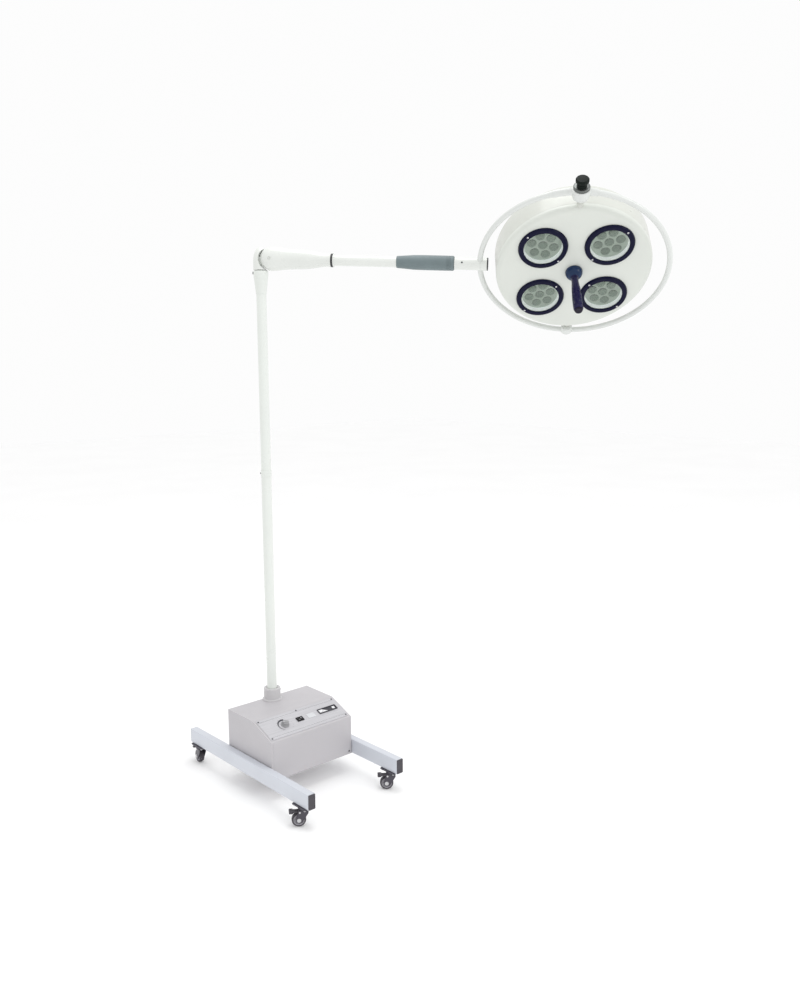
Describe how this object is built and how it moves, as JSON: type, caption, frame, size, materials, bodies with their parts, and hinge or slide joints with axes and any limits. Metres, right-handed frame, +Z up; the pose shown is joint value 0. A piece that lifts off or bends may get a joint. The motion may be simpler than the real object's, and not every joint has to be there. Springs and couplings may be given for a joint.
{
  "type": "surgical light",
  "caption": "Mobile surgical examination light: rolling base with control box, column, balanced arm, ring yoke and a round multi-lamp head with a central handle.",
  "frame": {"origin": "the point of the floor under the column's axis", "axes": "+Z up along the column, -Y the side that the control panel faces, X across the rails; at rest the arm points 50 degrees from +X towards -Y"},
  "size_m": [1.2615, 1.4298, 2.1604],
  "materials": {
    "rail_paint": "satin",
    "cap_plastic": "matte",
    "tray_steel": "satin",
    "beam_steel": "satin",
    "battery_case": "satin",
    "transformer_iron": "matte",
    "circuit_board": "matte",
    "cover_paint": "satin",
    "panel_plate": "satin",
    "screw_steel": "gloss",
    "switch_black": "satin",
    "meter_black": "satin",
    "inlet_black": "matte",
    "dimmer_grey": "satin",
    "column_paint": "gloss",
    "collar_paint": "satin",
    "caster_steel": "satin",
    "tyre_rubber": "matte",
    "hub_plastic": "satin",
    "pedal_plastic": "satin",
    "knuckle_paint": "gloss",
    "arm_shell": "gloss",
    "pin_steel": "satin",
    "ring_dark": "matte",
    "arm_paint": "gloss",
    "grip_rubber": "matte",
    "block_paint": "gloss",
    "knob_black": "satin",
    "head_shell": "gloss",
    "bezel_navy": "gloss",
    "lamp_glass": "gloss",
    "cup_white": "gloss",
    "led_metal": "satin",
    "dome_blue": "gloss",
    "handle_indigo": "satin",
    "button_dark": "satin"
  },
  "bodies": {
    "base": {"rail_left": "rail_paint", "rail_right": "rail_paint", "rail_end_caps": "cap_plastic", "base_tray": "tray_steel", "cross_beams": "beam_steel", "battery_pack": "battery_case", "power_supply": "transformer_iron", "driver_board": "circuit_board", "box_cover": "cover_paint", "control_panel": "panel_plate", "base_screws": "screw_steel", "rocker_frame": "switch_black", "battery_meter": "meter_black", "mains_inlet": "inlet_black", "column_collar": "collar_paint", "lower_column": "column_paint", "joint_ring": "column_paint", "upper_column": "column_paint", "taper_sleeve": "column_paint", "caster_plates": "caster_steel"},
    "elbow": {"elbow_knuckle": "knuckle_paint"},
    "arm": {"arm_housing": "arm_shell", "knuckle_pin": "pin_steel", "balance_spring": "pin_steel", "arm_ring": "ring_dark", "arm_tube": "arm_paint", "grip_sleeve": "grip_rubber"},
    "yoke": {"hoop": "arm_paint", "end_tube": "arm_paint", "end_plug": "arm_paint", "pivot_blocks": "block_paint"},
    "knob": {"tilt_knob": "knob_black"},
    "head": {"head_shell": "head_shell", "face_plate": "head_shell", "lamp_bezels": "bezel_navy", "lamp_glasses": "lamp_glass", "reflector_cups": "cup_white", "led_modules": "led_metal", "bezel_screws": "screw_steel"},
    "handle": {"handle_dome": "dome_blue", "handle_grip": "handle_indigo"},
    "button": {"handle_button": "button_dark"},
    "rocker": {"mains_rocker": "switch_black"},
    "dimmer": {"dimmer_knob": "dimmer_grey"},
    "front_left_caster": {"front_left_fork": "caster_steel"},
    "front_left_wheel": {"front_left_tyre": "tyre_rubber", "front_left_hub": "hub_plastic"},
    "front_left_pedal": {"front_left_brake_pedal": "pedal_plastic"},
    "front_right_caster": {"front_right_fork": "caster_steel"},
    "front_right_wheel": {"front_right_tyre": "tyre_rubber", "front_right_hub": "hub_plastic"},
    "front_right_pedal": {"front_right_brake_pedal": "pedal_plastic"},
    "back_left_caster": {"back_left_fork": "caster_steel"},
    "back_left_wheel": {"back_left_tyre": "tyre_rubber", "back_left_hub": "hub_plastic"},
    "back_left_pedal": {"back_left_brake_pedal": "pedal_plastic"},
    "back_right_caster": {"back_right_fork": "caster_steel"},
    "back_right_wheel": {"back_right_tyre": "tyre_rubber", "back_right_hub": "hub_plastic"},
    "back_right_pedal": {"back_right_brake_pedal": "pedal_plastic"}
  },
  "joints": [
    {"name": "arm_swivel", "type": "hinge", "parent": "base", "child": "elbow", "pos_m": [0, 0, 1.905], "axis": [0, 0, 1], "range_deg": [-170, 170]},
    {"name": "arm_tilt", "type": "hinge", "parent": "elbow", "child": "arm", "pos_m": [0.02571, -0.03064, 1.944], "axis": [-0.766, -0.6428, 0], "range_deg": [-30, 20]},
    {"name": "yoke_roll", "type": "hinge", "parent": "arm", "child": "yoke", "pos_m": [0.45282, -0.53965, 1.91731], "axis": [0.6423, -0.7654, -0.0401], "range_deg": [-150, 150]},
    {"name": "head_tilt", "type": "hinge", "parent": "yoke", "child": "head", "pos_m": [0.71904, -0.85692, 1.90068], "axis": [-0.5658, -0.5087, 0.6489], "range_deg": [-150, 150]},
    {"name": "knob_turn", "type": "hinge", "parent": "yoke", "child": "knob", "pos_m": [0.51877, -1.03702, 2.1304], "axis": [-0.5658, -0.5087, 0.6489], "range_deg": [-180, 180]},
    {"name": "handle_turn", "type": "hinge", "parent": "head", "child": "handle", "pos_m": [0.69018, -0.88649, 1.85717], "axis": [-0.481, -0.4929, -0.7251], "range_deg": [-90, 90]},
    {"name": "handle_release", "type": "slide", "parent": "handle", "child": "button", "axis": [0.481, 0.4929, 0.7251], "range_m": [0, 0.003], "stiffness_N_per_m": 1200, "springref_m": -0.002},
    {"name": "mains_rocker_tilt", "type": "hinge", "parent": "base", "child": "rocker", "pos_m": [-0.01332, -0.19856, 0.25083], "axis": [1, 0, 0], "range_deg": [-14, 0]},
    {"name": "dimmer_turn", "type": "hinge", "parent": "base", "child": "dimmer", "pos_m": [-0.08325, -0.20203, 0.25267], "axis": [0, 0.37, -0.929], "range_deg": [-60, 210]},
    {"name": "front_left_swivel", "type": "hinge", "parent": "base", "child": "front_left_caster", "pos_m": [-0.202, -0.468, 0.06], "axis": [0, 0, 1], "continuous": true},
    {"name": "front_left_roll", "type": "hinge", "parent": "front_left_caster", "child": "front_left_wheel", "pos_m": [-0.21542, -0.45929, 0.025], "axis": [0.5446, 0.8387, 0], "continuous": true},
    {"name": "front_left_brake", "type": "hinge", "parent": "front_left_caster", "child": "front_left_pedal", "pos_m": [-0.2129, -0.46092, 0.0534], "axis": [0.5446, 0.8387, 0], "range_deg": [-10, 0]},
    {"name": "front_right_swivel", "type": "hinge", "parent": "base", "child": "front_right_caster", "pos_m": [0.202, -0.468, 0.06], "axis": [0, 0, 1], "continuous": true},
    {"name": "front_right_roll", "type": "hinge", "parent": "front_right_caster", "child": "front_right_wheel", "pos_m": [0.18974, -0.45771, 0.025], "axis": [0.6428, 0.766, 0], "continuous": true},
    {"name": "front_right_brake", "type": "hinge", "parent": "front_right_caster", "child": "front_right_pedal", "pos_m": [0.19204, -0.45964, 0.0534], "axis": [0.6428, 0.766, 0], "range_deg": [-10, 0]},
    {"name": "back_left_swivel", "type": "hinge", "parent": "base", "child": "back_left_caster", "pos_m": [-0.202, 0.21, 0.06], "axis": [0, 0, 1], "continuous": true},
    {"name": "back_left_roll", "type": "hinge", "parent": "back_left_caster", "child": "back_left_wheel", "pos_m": [-0.19977, 0.22584, 0.025], "axis": [0.9903, -0.1392, 0], "continuous": true},
    {"name": "back_left_brake", "type": "hinge", "parent": "back_left_caster", "child": "back_left_pedal", "pos_m": [-0.20019, 0.22287, 0.0534], "axis": [0.9903, -0.1392, 0], "range_deg": [-10, 0]},
    {"name": "back_right_swivel", "type": "hinge", "parent": "base", "child": "back_right_caster", "pos_m": [0.202, 0.21, 0.06], "axis": [0, 0, 1], "continuous": true},
    {"name": "back_right_roll", "type": "hinge", "parent": "back_right_caster", "child": "back_right_wheel", "pos_m": [0.19786, 0.22545, 0.025], "axis": [0.9659, 0.2588, 0], "continuous": true},
    {"name": "back_right_brake", "type": "hinge", "parent": "back_right_caster", "child": "back_right_pedal", "pos_m": [0.19864, 0.22256, 0.0534], "axis": [0.9659, 0.2588, 0], "range_deg": [-10, 0]}
  ]
}
